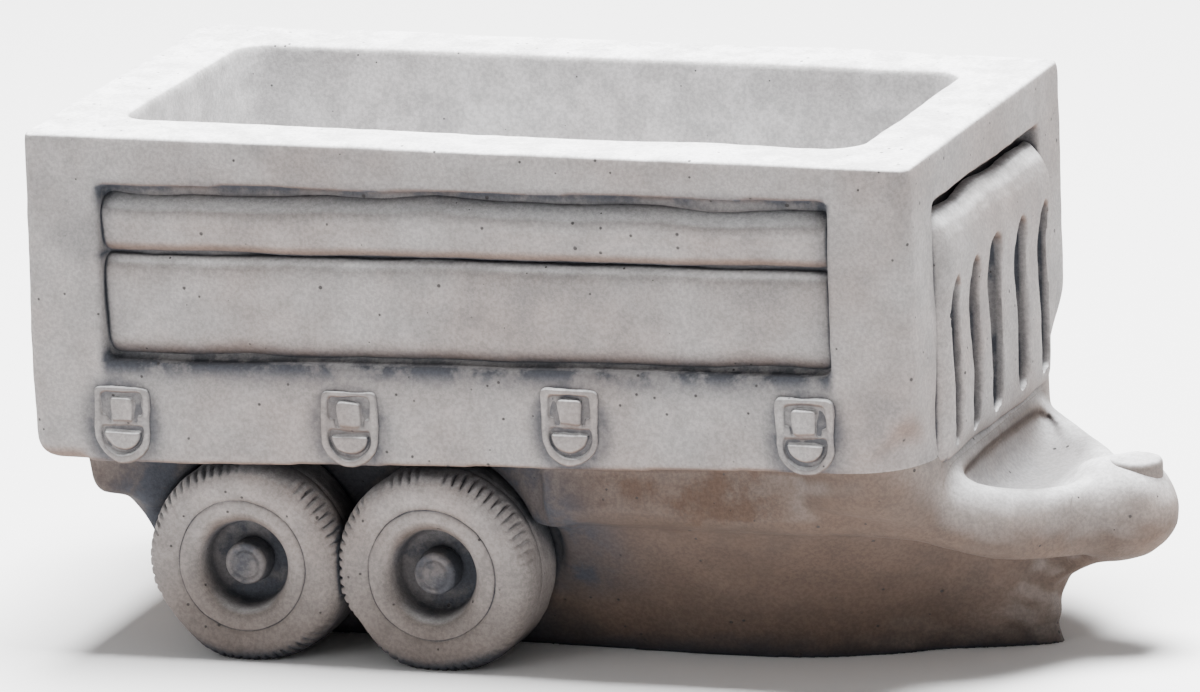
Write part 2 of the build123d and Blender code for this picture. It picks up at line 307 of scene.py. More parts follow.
# Fillings seen from above: outline in x, y, then lowest and highest z
planFillings = {
    "skirtEnd": ([(-28, 88), (50, 88), (50, 130), (24, 124), (-4, 112), (-28, 96)], 88, 134),
    "tailEnd": ([(-224, 88), (-170, 88), (-170, 104), (-196, 116), (-224, 121)], 88, 134),
    "recessEnd": ([(262, 107), (279.6, 107), (279.6, 121), (262, 121)], 135, 296),
}


def addLump(clay, other):
    old = clay.data
    clay.data = joined("clay", [old, other.data])
    bpy.data.meshes.remove(old)
    bpy.data.objects.remove(other)


def makeClay():
    s = castingSettings
    clay = newObject("clay", joined("clay", [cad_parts[name].data for name in clayNodes]))
    for side in (left, right):
        for name, stations in sideRolls.items():
            addLump(clay, roll(name, [(x, side * y, z, wide, deep) for x, y, z, wide, deep in stations]))
        addLump(clay, sidePrism("rail", railOutline, side, s["railInside"], s["railFace"]))
        addLump(clay, sidePrism("heel", heel, side, 0, s["heelSide"]))
        for name, (outline, low, high) in planFillings.items():
            addLump(clay, prism(name, [(x, side * y) for x, y in outline], "Z", low, high))
    addLump(clay, prism("bowl", bowl, "Y", -s["bowlSide"], s["bowlSide"]))
    addLump(clay, roll("crown", crown))
    remesh(clay, s["voxel"])
    combine(clay, prism("tailKnife", tailProfile, "Y", -beyond, beyond), "DIFFERENCE")
    for side in (left, right):
        for place in wheelPlaces.values():
            well = arc(place, hubHeight, s["wheelWell"], 0, 2 * math.pi, 64)[:-1]
            combine(clay, sidePrism("well", well, side, s["wellInside"], s["wellOutside"]), "DIFFERENCE")
    remesh(clay, s["voxel"])
    print("clay lump:", len(clay.data.polygons), "faces")
    return clay


def softenClay(clay):
    s = castingSettings
    x, y, z = localPlaces(coordinates(clay))
    flow = ramp(x, 214, 268) * (1 - ramp(z, 148, 205))  # the drawbar's root
    under = (1 - ramp(z, 98, 126)) * 0.35
    rear = (1 - ramp(x, -226, -208)) * (1 - ramp(z, 112, 128)) * 0.6
    weights = np.maximum(np.maximum(flow, under), rear)
    weights[z < 1.0] = 0
    paintGroup(clay, "flow", weights)
    smooth(clay, s["blendPasses"], "flow")
    combine(clay, roll("pocket", hollow), "DIFFERENCE")
    remesh(clay, s["voxel"])
    x, y, z = localPlaces(coordinates(clay))
    paintGroup(clay, "pocket", ramp(x, 276, 284) * ramp(z, 88, 96))
    smooth(clay, s["pocketPasses"], "pocket")
    smooth(clay, s["edgePasses"])
    handMade(clay, *s["unevenness"])


def roughenBase(clay):  # the base is rougher than the rest, and its front edge is broken
    s = castingSettings
    points = coordinates(clay)
    x, y, z = localPlaces(points)
    low = 1 - ramp(z, 60, baseTop)
    chipped = low * (0.3 + 0.7 * ramp(x, 286, 308)) * (0.4 + 0.6 * ramp(z, 2, 12))
    outward = normals(clay)
    for number in np.nonzero(low > 0.02)[0]:
        place = Vector(points[number]) / mm
        push = s["lumps"] * low[number] * noise.noise(place / s["lumpSize"] + Vector((4, 8, 1)))
        push += s["chip"] * chipped[number] * noise.noise(place / s["chipSize"])
        points[number, :2] += outward[number, :2] * push * mm
    points[:, 2] = np.where(points[:, 2] < s["settledBelow"] * mm, 0.0, points[:, 2])
    setCoordinates(clay, points)
    print("clay softened")


clay = makeClay()
softenClay(clay)
roughenBase(clay)


def part(name, outline, axis, low, high, node=None, source=clay):
    piece = duplicate(source, name)
    combine(piece, prism("knife", outline, axis, low, high), "INTERSECT")
    if node:
        finishPiece(piece, node)
    return piece


def band(rear, front):  # the outline between the plinth's top and the trough's lower edge
    return [(rear, baseTop), (front, baseTop), (front, lowerEdge(front)), (rear, lowerEdge(rear))]


partingSettings = {
    "rear": -300.0, "frontCut": 281.5, "top": 400.0, "sillInside": 146.5, "sillDrop": 12.0,
    "deckRear": -219.0, "deckSide": 95.0, "tailCorner": -160.0, "skirtRear": -30.0,
}
plinthFront = [(345, -20), (330, 45)]
drawbarKnives = {  # seen from above: x, y
    "drawbar_web": [(200, -70), (342, -12), (342, 12), (200, 70)],
    "drawbar_nose": [(342, -200), (450, -200), (450, 200), (342, 200)],
    "drawbar_arm_left": [(200, 70), (342, 12), (342, 200), (200, 200)],
    "drawbar_arm_right": [(342, -12), (200, -70), (200, -200), (342, -200)],
}


def partCasting():
    s = partingSettings
    rear, cut, deckSide = s["rear"], s["frontCut"], s["deckSide"]
    below = s["sillDrop"]
    sill = [(-245, lowerEdge(-245) - below), (238, lowerEdge(238) - below), (238, 197.2), (-245, 185.0)]
    trough = [(rear, lowerEdge(rear)), (cut, lowerEdge(cut)), (cut, s["top"]), (rear, s["top"])]
    tub = part("tub", trough, "Y", -beyond, beyond)
    sillDepths = {side: sorted((side * s["sillInside"], side * beyond)) for side in (left, right)}
    for side, (low, high) in sillDepths.items():
        part("sill", sill, "Y", low, high, "sill_" + sideNames[side], source=tub)
    for low, high in sillDepths.values():
        combine(tub, prism("knife", sill, "Y", low, high), "DIFFERENCE")
    finishPiece(tub, "tub")
    plinth = [(rear, -20), *plinthFront, (cut, baseTop), (rear, baseTop)]
    part("plinth", plinth, "Y", -beyond, beyond, "plinth")
    part("deck", band(s["deckRear"], cut), "Y", -deckSide, deckSide, "deck")
    tail = part("tail", band(rear, s["deckRear"]), "Y", -beyond, beyond)
    for side in (left, right):
        low, high = sorted((side * deckSide, side * beyond))
        combine(tail, part("corner", band(s["deckRear"], s["tailCorner"]), "Y", low, high), "UNION")
    finishPiece(tail, "tail")
    for side in (left, right):
        low, high = sorted((side * deckSide, side * beyond))
        part("skirt", band(s["skirtRear"], cut), "Y", low, high, "skirt_" + sideNames[side])
    front = [(cut, baseTop), *plinthFront[::-1], (450, -20), (450, s["top"]), (cut, s["top"])]
    drawbar = part("drawbar", front, "Y", -beyond, beyond)
    for node, outline in drawbarKnives.items():
        part(node, outline, "Z", -30, 420, node, source=drawbar)
    bpy.data.objects.remove(drawbar)
    bpy.data.objects.remove(clay)
    print("casting parted")


partCasting()

# Boards in the recesses. Each is a strip whose section bulges like a roll of clay.
boardSettings = {"voxel": 1.5, "passes": 4, "unevenness": (1.4, 60.0, 0.3, 12.0)}
upperBulge = (  # how far the face stands out from the board's back, from bottom to top
    1.5, 5.5, 7.9, 8.9, 9.3, 9.6, 10.0, 10.5, 11.0, 11.2, 10.8, 9.6, 7.4, 4.2, 0.5,
)
lowerBulge = (
    -1.0, 2.5, 4.9, 6.4, 7.2, 7.7, 8.0, 8.3, 8.5, 8.7, 8.9, 9.1, 9.3, 9.3, 9.1, 8.4, 6.6, 3.0,
)
sideBoards = {  # low and high edge are each a height at the rear and one at the front
    "side_board_upper_": {
        "low": (251.9, 260.3), "high": (288.0, 295.0), "bulge": upperBulge, "waves": (1.2, 4.5),
    },
    "side_board_lower_": {
        "low": (186.0, 197.5), "high": (250.3, 259.2), "bulge": lowerBulge, "waves": (4.0, 1.2),
    },
}
sideSpan = {"rear": -232.0, "front": 229.0, "back": 143.0, "endDrop": 3.0, "endLength": 8.0}
tailBoards = {
    "tailgate_upper": {"low": (232.8, 232.8), "high": (289.5, 289.5), "bulge": upperBulge},
    "tailgate_lower": {"low": (149.0, 149.0), "high": (231.4, 231.4), "bulge": lowerBulge},
}
tailSpan = {"rear": -119.5, "front": 119.5, "back": 266.0, "waves": (1.0, 1.0)}


def board(name, rear, front, back, low, high, bulge, waves,
          endDrop=8.0, endLength=14.0, root=10.0, columns=160):
    rings = []
    for i in range(columns + 1):
        t = i / columns
        x = rear + (front - rear) * t
        zLow = low[0] + (low[1] - low[0]) * t + waves[0] * noise.noise(Vector((x / 55, 3.1, back / 9)))
        zHigh = high[0] + (high[1] - high[0]) * t + waves[1] * noise.noise(Vector((x / 48, 8.4, back / 9)))
        fall = endDrop * (1 - min(min(x - rear, front - x) / endLength, 1)) ** 2
        ring = [at(x, back - root, zLow)]
        for j, out in enumerate(bulge):
            ring.append(at(x, back + out - fall, zLow + (zHigh - zLow) * (j / (len(bulge) - 1))))
        ring.append(at(x, back - root, zHigh))
        rings.append(ring)
    piece = remesh(loft(name, rings), boardSettings["voxel"])
    return smooth(piece, boardSettings["passes"])


for side in (left, right):
    for name, shape in sideBoards.items():
        piece = handMade(board(name, **sideSpan, **shape), *boardSettings["unevenness"])
        finishPiece(mirrored(piece, side), name + sideNames[side])
for name, shape in tailBoards.items():
    piece = turned(board(name, **tailSpan, **shape), math.pi / 2)
    finishPiece(handMade(piece, *boardSettings["unevenness"]), name)
print("boards laid")

# Front: a roll along the top flows into a slatted panel; both stand proud of the tub.
frontSettings = {
    "face": 285.5, "joint": 262.0, "top": 284.5, "bottom": 134.5, "half": 110.0, "voxel": 1.4, "passes": 6,
    "unevenness": (1.3, 40.0, 0.35, 11.0), "slotDepth": 9.0, "slotSteps": 24, "slotWave": 0.9,
}
slots = (  # y, width, bottom, top
    (-88, 17, 141, 246), (-50, 19, 142, 249), (-8, 25, 143, 253), (43, 22, 143, 252), (90, 21, 143, 251),
)
frontBulge = (
    -3.0, 0.0, 1.0, 1.3, 1.3, 1.2, 1.1, 1.0, 0.8, 0.4, 0.2, 0.4, 1.2, 2.2, 2.8, 2.6, 1.0, -3.0, -10.0,
)


def slotCutter(y, width, low, high):  # an upright slot with uneven sides, rounder at the top
    s = frontSettings

    def reach(t, seed):
        swelling = math.sqrt(max(0.0, 1 - abs(2 * t - 1) ** 7))
        wave = s["slotWave"] * noise.noise(Vector((y, t * 4.0, seed)))
        return max(width / 2 * swelling * (0.86 + 0.2 * t) + wave, 0.3)

    heights = [k / s["slotSteps"] for k in range(s["slotSteps"] + 1)]
    outline = [(y + reach(t, 1.0), low + (high - low) * t) for t in heights]
    outline += [(y - reach(t, 7.0), low + (high - low) * t) for t in heights[::-1]]
    return prism("slot", outline, "X", s["face"] - s["slotDepth"], s["face"] + 12)


def makeFront():
    s = frontSettings
    levels = {"low": (s["bottom"], s["bottom"]), "high": (s["top"], s["top"]), "back": s["face"]}
    ends = {"endDrop": 6.6, "endLength": 13.0, "root": 18.0, "columns": 120}
    sheet = board("front", -s["half"], s["half"], bulge=frontBulge, waves=(2.0, 3.5), **levels, **ends)
    turned(sheet, -math.pi / 2)
    for slot in slots:
        combine(sheet, slotCutter(*slot), "DIFFERENCE")
    remesh(sheet, s["voxel"])
    smooth(sheet, s["passes"])
    handMade(sheet, *s["unevenness"])
    for node, low, high in (("front_panel", 100.0, s["joint"]), ("front_header", s["joint"], 340.0)):
        outline = [(240, low), (320, low), (320, high), (240, high)]
        part(node, outline, "Y", -beyond, beyond, node, source=sheet)
    bpy.data.objects.remove(sheet)
    print("front panel cut")


makeFront()

# Latches: a round-ended plate with a raised button in a grooved frame and a half moon below it.
latchSettings = {
    "width": 36.0, "height": 47.0, "frame": 4.5, "voxel": 0.7, "passes": 32,
    "unevenness": (1.4, 17.0, 0.35, 6.0), "back": 149.0, "root": 150.0, "face": 158.4, "groove": 155.2,
    "button": 159.2, "cheek": 157.4, "moon": 159.4, "clear": 162.0,
}
latchPlaces = ((-221.0, 147.0), (-75.0, 151.0), (65.0, 159.0), (212.0, 160.0))  # x, z


def roundedU(half, top, bottom, corner):
    quarter = math.pi / 2
    outline = arc(0, bottom + half, half, math.pi, math.pi, 16)
    outline += arc(half - corner, top - corner, corner, 0, quarter, 4)
    return outline + arc(-half + corner, top - corner, corner, quarter, quarter, 4)


def latch(x, z):
    s = latchSettings
    half, top = s["width"] / 2, s["height"] / 2

    def block(outline, low, high):
        return prism("latch", [(x + a, z + b) for a, b in outline], "Y", low, high)

    piece = block(roundedU(half, top, -top, 4), s["back"], s["face"])
    groove = roundedU(half - s["frame"], top - 3.5, -top + s["frame"], 3)
    combine(piece, block(groove, s["groove"], s["clear"]), "DIFFERENCE")
    button = [(-7, 2), (7, 2), (7.5, 15), (6, 17), (-6, 17), (-7.5, 15)]
    side = half - 3
    cheeks = [(-side, -1), (side, -1), (side, 6), (9.5, 6), (9.5, 0.8), (-9.5, 0.8), (-9.5, 6), (-side, 6)]
    moon = arc(0, -4, half - 6.2, math.pi, math.pi, 16, squash=0.95)
    for outline, face in ((button, s["button"]), (cheeks, s["cheek"]), (moon, s["moon"])):
        combine(piece, block(outline, s["root"], face), "UNION")
    remesh(piece, s["voxel"])
    smooth(piece, s["passes"])
    return handMade(piece, *s["unevenness"])


for side in (left, right):
    for number, (x, z) in enumerate(latchPlaces, start=1):
        finishPiece(mirrored(latch(x, z), side), "latch_" + str(number) + "_" + sideNames[side])
print("latches set")

# Wheels: turned rings with worn tread lugs round the shoulder.
wheelSettings = {
    "radius": 63.5, "seat": 41.0, "face": 147.0, "inner": 95.0, "spacing": 1.6,
    "tyreSegments": 420, "rimSegments": 128, "hubSegments": 96, "hubSpacing": 0.9,
    "seeds": {"rear": 3.0, "front": 11.0}, "lugs": 66, "lugDepth": 1.6, "grooveDepth": 0.8,
    "meeting": -91.5, "pressedAngle": 219.0, "pressedRadius": 56.0, "pressedShare": 0.85,
    "tyreUnevenness": (0.9, 30.0, 0.3, 7.0), "rimUnevenness": (0.9, 26.0, 0.3, 8.0),
    "hubUnevenness": (0.7, 16.0, 0.25, 5.0),
}


def denser(profile, spacing):
    fine = []
    for (r0, y0), (r1, y1) in zip(profile, profile[1:]):
        steps = max(1, int(math.hypot(r1 - r0, y1 - y0) / spacing))
        for k in range(steps):
            fine.append((r0 + (r1 - r0) * k / steps, y0 + (y1 - y0) * k / steps))
    fine.append(profile[-1])
    return fine


def lathe(name, profile, centre, segments, closed=False):  # profile: radius, y; turned about an axle along Y
    count = len(profile)
    points, faces = [], []
    for i in range(segments):
        angle = 2 * math.pi * i / segments
        for radius, y in profile:
            points.append(at(centre[0] + radius * math.cos(angle), y, centre[1] + radius * math.sin(angle)))
        k = (i + 1) % segments
        for j in range(count if closed else count - 1):
            m = (j + 1) % count
            faces.append([i * count + j, i * count + m, k * count + m, k * count + j])
    if not closed:
        faces.append([i * count for i in range(segments)])
        faces.append([i * count + count - 1 for i in range(segments - 1, -1, -1)])
    piece = meshFrom(name, points, faces)
    shape = bmesh.new()
    shape.from_mesh(piece.data)
    bmesh.ops.remove_doubles(shape, verts=shape.verts, dist=1e-7)
    bmesh.ops.recalc_face_normals(shape, faces=shape.faces)
    shape.to_mesh(piece.data)
    shape.free()
    return piece


def tread(points, towards, x, seed):  # sink the gaps between the lugs and one groove round the shoulder
    s = wheelSettings
    fromAxle, y, height = localPlaces(points)
    fromAxle, height = fromAxle - x, height - hubHeight
    radius, angle = np.hypot(fromAxle, height), np.arctan2(height, fromAxle)
    fromFace, fromTread = y - s["face"], radius - s["radius"]
    lug = ramp(np.sin((angle + fromFace * 0.0015) * s["lugs"]), -0.9, -0.25)
    reach = ramp(fromTread, -7.5, -4.0) * ramp(fromFace, -17, -12)
    around = [Vector((math.cos(a) * 1.7 + seed, math.sin(a) * 1.7, seed)) for a in angle]
    wear = ramp(np.array([noise.noise(place) for place in around]), -0.38, 0.12) * 0.85 + 0.15
    sink = (1 - lug) * reach * s["lugDepth"] * wear
    sink += s["grooveDepth"] * bell(fromFace + 24, 1.2) * ramp(fromTread, -2, -1)
    return points - towards * (sink * mm)[:, None]


def pressed(points, x):  # flat where it stands, where the two tyres meet, and below on its rear side
    s = wheelSettings
    points[:, 2] = np.maximum(points[:, 2], 0)
    limit = tubMiddle + s["meeting"] * mm
    points[:, 0] = (np.minimum if x < s["meeting"] else np.maximum)(points[:, 0], limit)
    fromAxle, y, height = localPlaces(points)
    lean = math.radians(s["pressedAngle"])
    outwards = (fromAxle - x) * math.cos(lean) + (height - hubHeight) * math.sin(lean)
    excess = np.maximum(outwards - s["pressedRadius"], 0) * s["pressedShare"] * mm
    points[:, 0] -= excess * math.cos(lean)
    points[:, 2] -= excess * math.sin(lean)
    return points


def tyre(x, seed):
    s = wheelSettings
    radius, seat, face, inner = s["radius"], s["seat"], s["face"], s["inner"]
    profile = [
        (seat - 3, inner), (radius - 3, inner), (radius, inner + 4), (radius, face - 18),
        (radius - 0.8, face - 12), (radius - 2.6, face - 7), (radius - 5.6, face - 3),
        (radius - 9.5, face - 0.9), (radius - 13.5, face), (seat + 4.5, face - 0.4),
        (seat + 1.6, face - 0.8), (seat + 0.4, face - 1.5), (seat - 3, face - 2.6),
    ]
    profile = denser(profile, s["spacing"]) + [(seat - 3, inner + 1)]
    piece = smooth(lathe("tyre", profile, (x, hubHeight), s["tyreSegments"], closed=True), 3)
    points = tread(coordinates(piece), normals(piece), x, seed)
    setCoordinates(piece, pressed(points, x))
    handMade(piece, *s["tyreUnevenness"])
    points = coordinates(piece)
    points[:, 2] = np.maximum(points[:, 2], 0)
    setCoordinates(piece, points)
    return piece


def wheelRim(x):
    s = wheelSettings
    seat, face, inner = s["seat"], s["face"], s["inner"]
    profile = [
        (0.01, inner), (seat, inner), (seat, face - 2.6), (seat - 0.7, face - 1.4), (seat - 2.2, face - 0.7),
        (seat - 7, face - 0.6), (32.5, face - 1.2), (29.5, face - 3.2), (27.6, face - 6.5),
        (26.4, face - 10), (25.4, face - 21), (23, face - 23), (0.01, face - 23),
    ]
    piece = lathe("rim", denser(profile, s["spacing"]), (x, hubHeight), s["rimSegments"])
    return handMade(smooth(piece, 3), *s["rimUnevenness"])


def hubCap(x):
    s = wheelSettings
    face = s["face"]
    profile = [
        (0.01, face - 24), (13.8, face - 21), (13.4, face - 13), (13.0, face - 8.2), (12.0, face - 6.6),
        (9.6, face - 6.2), (8.9, face - 7.2), (8.0, face - 7.2), (7.3, face - 6.1), (0.01, face - 5.8),
    ]
    piece = lathe("hub", denser(profile, s["hubSpacing"]), (x, hubHeight), s["hubSegments"])
    return handMade(smooth(piece, 2), *s["hubUnevenness"])


for side in (left, right):
    for axle, x in wheelPlaces.items():
        ending = axle + "_" + sideNames[side]
        members = {
            "tyre_": tyre(x, wheelSettings["seeds"][axle]), "wheel_rim_": wheelRim(x), "hub_cap_": hubCap(x),
        }
        for name, piece in members.items():
            finishPiece(mirrored(piece, side), name + ending, sharp=60)
print("wheels turned")

# Hitch boss: a low round disc on the nose, turned lying down and then stood up.
bossSettings = {
    "x": 368.0, "spacing": 1.0, "segments": 96, "passes": 2, "unevenness": (0.6, 14.0, 0.2, 5.0),
    "profile": [(0.01, 104), (16.4, 104), (16.2, 114.2), (15.2, 116.2), (13.2, 117.0), (0.01, 117.3)],
}
bossProfile = denser(bossSettings["profile"], bossSettings["spacing"])
boss = lathe("boss", bossProfile, (0, 0), bossSettings["segments"])
lying = coordinates(boss)
forward = lying[:, 0] - tubMiddle + at(bossSettings["x"], 0, 0).x
setCoordinates(boss, np.stack([forward, lying[:, 2], lying[:, 1]], axis=1))
boss.data.flip_normals()
smooth(boss, bossSettings["passes"])
handMade(boss, *bossSettings["unevenness"])
finishPiece(boss, "hitch_boss")

# Dark dirt and painted shade: along the boards, round the latches, in the slots, behind the wheels, in the
# wheel dishes, on the hub caps and in the drawbar's pocket.
grimeAndShadeSettings = {"edge": 8.0, "latch": 7.0, "crack": 2.4, "wheel": 34.0, "clearOfWheel": 78.0, "slot": 3.0}
recess = {  # the side recess; each of its lines has a height at the rear and a rise to the front
    "rear": -231.0, "front": 228.0, "top": (294.6, 8.3), "bottom": (185.3, 11.8), "joint": (250.8, 8.6),
}


def sideGrime(x, y, z):
    rear, front = recess["rear"], recess["front"]
    share = (x - rear) / (front - rear)
    top, bottom, joint = [recess[line][0] + recess[line][1] * share for line in ("top", "bottom", "joint")]
    edge = grimeAndShadeSettings["edge"]
    between = ramp(x, rear - 5, rear + 2) * (1 - ramp(x, front - 2, front + 5))
    inside = ((z > bottom) & (z < top)).astype(float)
    # painted shade and dirt along the recess's top and bottom edges and at its ends, a dark line in the
    # joint between the boards, and painted shade below and above the recess
    within = bell(top - z, 1.5 * edge) + 0.9 * bell(z - bottom, edge)
    within += 0.55 * bell(x - front, 9) + 0.45 * bell(x - rear, 6)
    within += 0.8 * bell(z - joint, grimeAndShadeSettings["crack"])
    below = (z <= bottom) * bell(bottom - z, 1.5 * edge)
    above = (z >= top) * bell(z - top, 0.5 * edge) * 0.5
    grime = between * (inside * within + below + above)
    # painted shade round the latches
    for latchX, latchZ in latchPlaces:
        away = np.hypot((x - latchX) / 19.5, (z - latchZ) / 25.0) - 1
        grime = np.maximum(grime, 0.8 * bell(np.maximum(away * 20, 0), grimeAndShadeSettings["latch"]))
    return grime * (np.abs(y) > 135)


def fromAxles(x, z):  # distance to the nearer axle
    return np.min([np.hypot(x - place, z - hubHeight) for place in wheelPlaces.values()], axis=0)


def grimeOf(name, x, y, z):
    out = np.abs(y)
    # painted shade on the latch's sunken parts
    if name.startswith("latch"):
        return 0.25 * (out < 158.0)
    if name.startswith("tub"):
        return sideGrime(x, y, z) * (np.abs(x) < 255)
    if name.startswith(("sill", "side_board")):
        return sideGrime(x, y, z)
    # painted shade round and behind the wheels
    if name.startswith(("skirt", "tail_", "plinth", "deck")):
        away = np.maximum(fromAxles(x, z) - grimeAndShadeSettings["clearOfWheel"], 0)
        return bell(away, grimeAndShadeSettings["wheel"]) * ramp(out, 84, 98)
    # painted shade over the whole hub cap
    if name.startswith("hub_cap"):
        return 0.9 + 0.1 * (out < 138.0)
    # painted shade in the wheel's dish
    if name.startswith("wheel_rim"):
        return (1 - ramp(fromAxles(x, z), 24.5, 30.0)) * ramp(143.0 - out, -1, 4)
    # painted shade inside the slots
    if name.startswith("front_panel"):
        return ramp(frontSettings["face"] - 2.0 - x, 0, grimeAndShadeSettings["slot"]) * (out < 104)
    # painted shade in the drawbar's pocket
    if name.startswith(("drawbar_web", "drawbar_arm")):
        return 0.45 * ramp(x, 280, 284) * (1 - ramp(x, 318, 332)) * (1 - ramp(out, 50, 85)) * (z > 92)
    return None


for piece in concretePieces:
    grime = grimeOf(piece.name, *localPlaces(coordinates(piece)))
    if grime is not None:
        attribute = piece.data.attributes.new("grime", "FLOAT", "POINT")
        attribute.data.foreach_set("value", np.clip(grime, 0, 1).astype(np.float32))
print("grime laid")


# Materials
def addNode(tree, kind, inputs=None, **settings):
    node = tree.nodes.new(kind)
    for key, value in settings.items():
        setattr(node, key, value)
    for key, value in (inputs or {}).items():
        if hasattr(value, "is_output"):
            tree.links.new(value, node.inputs[key])
        else:
            node.inputs[key].default_value = value
    return node


def newGroup(name, inputs, outputs):
    group = bpy.data.node_groups.new(name, "ShaderNodeTree")
    for label, value in inputs.items():
        kind = "NodeSocketVector" if isinstance(value, tuple) else "NodeSocketFloat"
        socket = group.interface.new_socket(name=label, in_out="INPUT", socket_type=kind)
        socket.default_value = value
    for label in outputs:
        group.interface.new_socket(name=label, in_out="OUTPUT", socket_type="NodeSocketFloat")
    return group, group.nodes.new("NodeGroupInput").outputs, group.nodes.new("NodeGroupOutput").inputs


def useGroup(tree, group, vector, **inputs):
    return addNode(tree, "ShaderNodeGroup", {"Vector": vector, **inputs}, node_tree=group).outputs


def mapRange(tree, value, low, high, toLow=0.0, toHigh=1.0):
    inputs = {0: value, 1: low, 2: high, 3: toLow, 4: toHigh}
    return addNode(tree, "ShaderNodeMapRange", inputs, interpolation_type="SMOOTHSTEP").outputs[0]


def maths(tree, operation, a, b=0.0):
    return addNode(tree, "ShaderNodeMath", {0: a, 1: b}, operation=operation).outputs[0]


def multiply(tree, a, b):
    return maths(tree, "MULTIPLY", a, b)


def mixColour(tree, factor, a, b, blend="MIX"):
    inputs = {0: factor, 6: a, 7: b}
    return addNode(tree, "ShaderNodeMix", inputs, data_type="RGBA", blend_type=blend).outputs[2]


def noiseValue(tree, vector, scale, detail, roughness):
    inputs = {"Vector": vector, "Scale": scale, "Detail": detail, "Roughness": roughness}
    return addNode(tree, "ShaderNodeTexNoise", inputs).outputs["Fac"]


def makeHollows():  # how deep in a hollow a point lies, broken up by noise
    inputs = {"Vector": (0, 0, 0), "Reach": 0.03, "Break Up": 0.25}
    group, start, end = newGroup("hollows", inputs, ["Hollow"])
    shade = addNode(group, "ShaderNodeAmbientOcclusion", {"Distance": start["Reach"]}, samples=8)
    uneven = maths(group, "SUBTRACT", noiseValue(group, start["Vector"], 55.0, 5.0, 0.6), 0.5)
    uneven = multiply(group, uneven, start["Break Up"])
    closed = maths(group, "SUBTRACT", 1.0, shade.outputs["AO"])
    group.links.new(maths(group, "ADD", closed, uneven), end["Hollow"])
    return group


mottlingSettings = {  # noise scale, detail and roughness, then the values that give 0 and 1
    "Patches": (9.0, 5.0, 0.6, 0.35, 0.68), "Stains": (17.0, 6.0, 0.68, 0.5, 0.74),
    "Clouds": (42.0, 6.0, 0.65, 0.3, 0.7), "Speckle": (420.0, 3.0, 0.7, 0.3, 0.7),
}


def makeMottling():  # broad warm and cool patches of the dried casting
    group, start, end = newGroup("mottling", {"Vector": (0, 0, 0)}, mottlingSettings)
    for label, (scale, detail, roughness, low, high) in mottlingSettings.items():
        value = noiseValue(group, start["Vector"], scale, detail, roughness)
        group.links.new(mapRange(group, value, low, high), end[label])
    return group


def makeAirHoles():  # small round holes left by air in the mix
    inputs = {"Vector": (0, 0, 0), "Scale": 60.0, "Radius": 0.05, "Share": 0.25}
    group, start, end = newGroup("airHoles", inputs, ["Hole"])
    cells = addNode(group, "ShaderNodeTexVoronoi", {"Vector": start["Vector"], "Scale": start["Scale"]})
    chance = addNode(group, "ShaderNodeSeparateColor", {0: cells.outputs["Color"]})
    size = multiply(group, start["Radius"], maths(group, "ADD", chance.outputs[1], 0.35))
    outside = mapRange(group, maths(group, "DIVIDE", cells.outputs["Distance"], size), 0.65, 1.0)
    chosen = maths(group, "LESS_THAN", chance.outputs[0], start["Share"])
    group.links.new(multiply(group, maths(group, "SUBTRACT", 1.0, outside), chosen), end["Hole"])
    return group


def makeGrain():  # sandy surface height
    group, start, end = newGroup("sandGrain", {"Vector": (0, 0, 0)}, ["Height"])
    fine = multiply(group, noiseValue(group, start["Vector"], 900.0, 3.0, 0.6), 0.35)
    coarse = multiply(group, noiseValue(group, start["Vector"], 190.0, 5.0, 0.65), 0.65)
    group.links.new(maths(group, "ADD", fine, coarse), end["Height"])
    return group


hollows, mottling, airHoles, sandGrain = makeHollows(), makeMottling(), makeAirHoles(), makeGrain()

# Colours: a pale for rain-washed tops and painted top light, a dark for dirt and painted shade in hollows, a
# brown for earth stain and painted shade low down, and a near black for painted shade inside air holes.
troughSettings = {
    "body": (0.225, 0.212, 0.208, 1), "warm": (0.19, 0.158, 0.146, 1), "stain": (0.11, 0.105, 0.108, 1),
    "washed": (0.88, 0.88, 0.89, 1), "patinaAndShade": (0.026, 0.029, 0.037, 1), "earth": (0.09, 0.055, 0.04, 1),
    "shadedHole": (0.03, 0.027, 0.027, 1), "roughness": 0.86, "roughnessSpread": 0.06, "specular": 0.3,
    "earthAndShadeTop": 0.14, "earthAndShadeFoot": 0.10, "earthAndShadeAmount": 0.5, "underside": (-0.05, -0.75), "underTub": 0.0,
    "upwardStart": 0.35, "sheltered": 0.4, "hollowGain": 1.0, "bump": 0.7, "bumpDepth": 0.0009,
}
# The base's copy is browner and darker, with painted shade under the tub, stronger painted shade on faces
# turned down and weaker painted top light.
baseSettings = dict(
    troughSettings, body=(0.20, 0.18, 0.17, 1), warm=(0.165, 0.125, 0.105, 1), earth=(0.05, 0.029, 0.019, 1),
    washed=(0.58, 0.58, 0.59, 1), earthAndShadeTop=0.10, earthAndShadeFoot=0.03, earthAndShadeAmount=0.62, upwardStart=0.2,
    underside=(0.4, -0.38), underTub=0.95,
)
# The wheels' copy: painted shade of the wheels standing under the tub, with weaker painted top light and
# more darkening towards the ground.
shadedWheelSettings = dict(
    troughSettings, body=(0.215, 0.198, 0.192, 1), warm=(0.18, 0.148, 0.135, 1),
    earth=(0.075, 0.055, 0.045, 1), washed=(0.32, 0.31, 0.31, 1), earthAndShadeTop=0.11, earthAndShadeFoot=0.0,
    earthAndShadeAmount=0.75, upwardStart=0.5, hollowGain=1.1,
)


